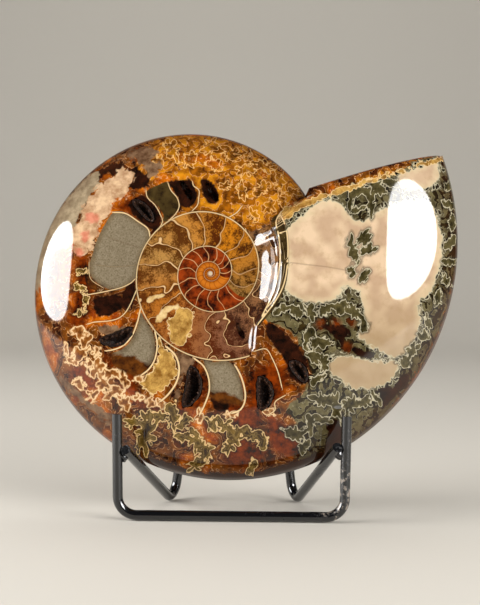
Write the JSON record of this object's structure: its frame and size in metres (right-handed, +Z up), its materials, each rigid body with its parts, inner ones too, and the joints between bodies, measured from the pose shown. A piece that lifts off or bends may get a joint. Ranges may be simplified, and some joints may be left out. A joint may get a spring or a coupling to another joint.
{
  "type": "polished cleoniceras ammonite on a wire stand",
  "caption": "Whole polished ammonite with open crystal-lined chambers and a straight-cut aperture, leaning in a welded black wire display stand.",
  "frame": {"origin": "on the ground under the middle of the object's bounding box", "axes": "+X to the right across the polished front flank, towards the cut aperture; -Y towards the viewer; +Z up"},
  "size_m": [0.1416, 0.0492, 0.1258],
  "materials": {
    "fossil": "polished calcite, aragonite and mudstone infill, amber, brown, beige and grey",
    "druse": "small calcite crystals, dark brown with paler tips",
    "stand": "gloss black paint over steel wire"
  },
  "bodies": {
    "root": {"ammonite": "fossil", "druse_front_1": "druse", "druse_front_2": "druse", "druse_front_3": "druse", "druse_front_4": "druse", "druse_front_5": "druse", "druse_back_1": "druse", "druse_back_2": "druse", "front_frame": "stand", "rear_frame": "stand"}
  },
  "joints": []
}
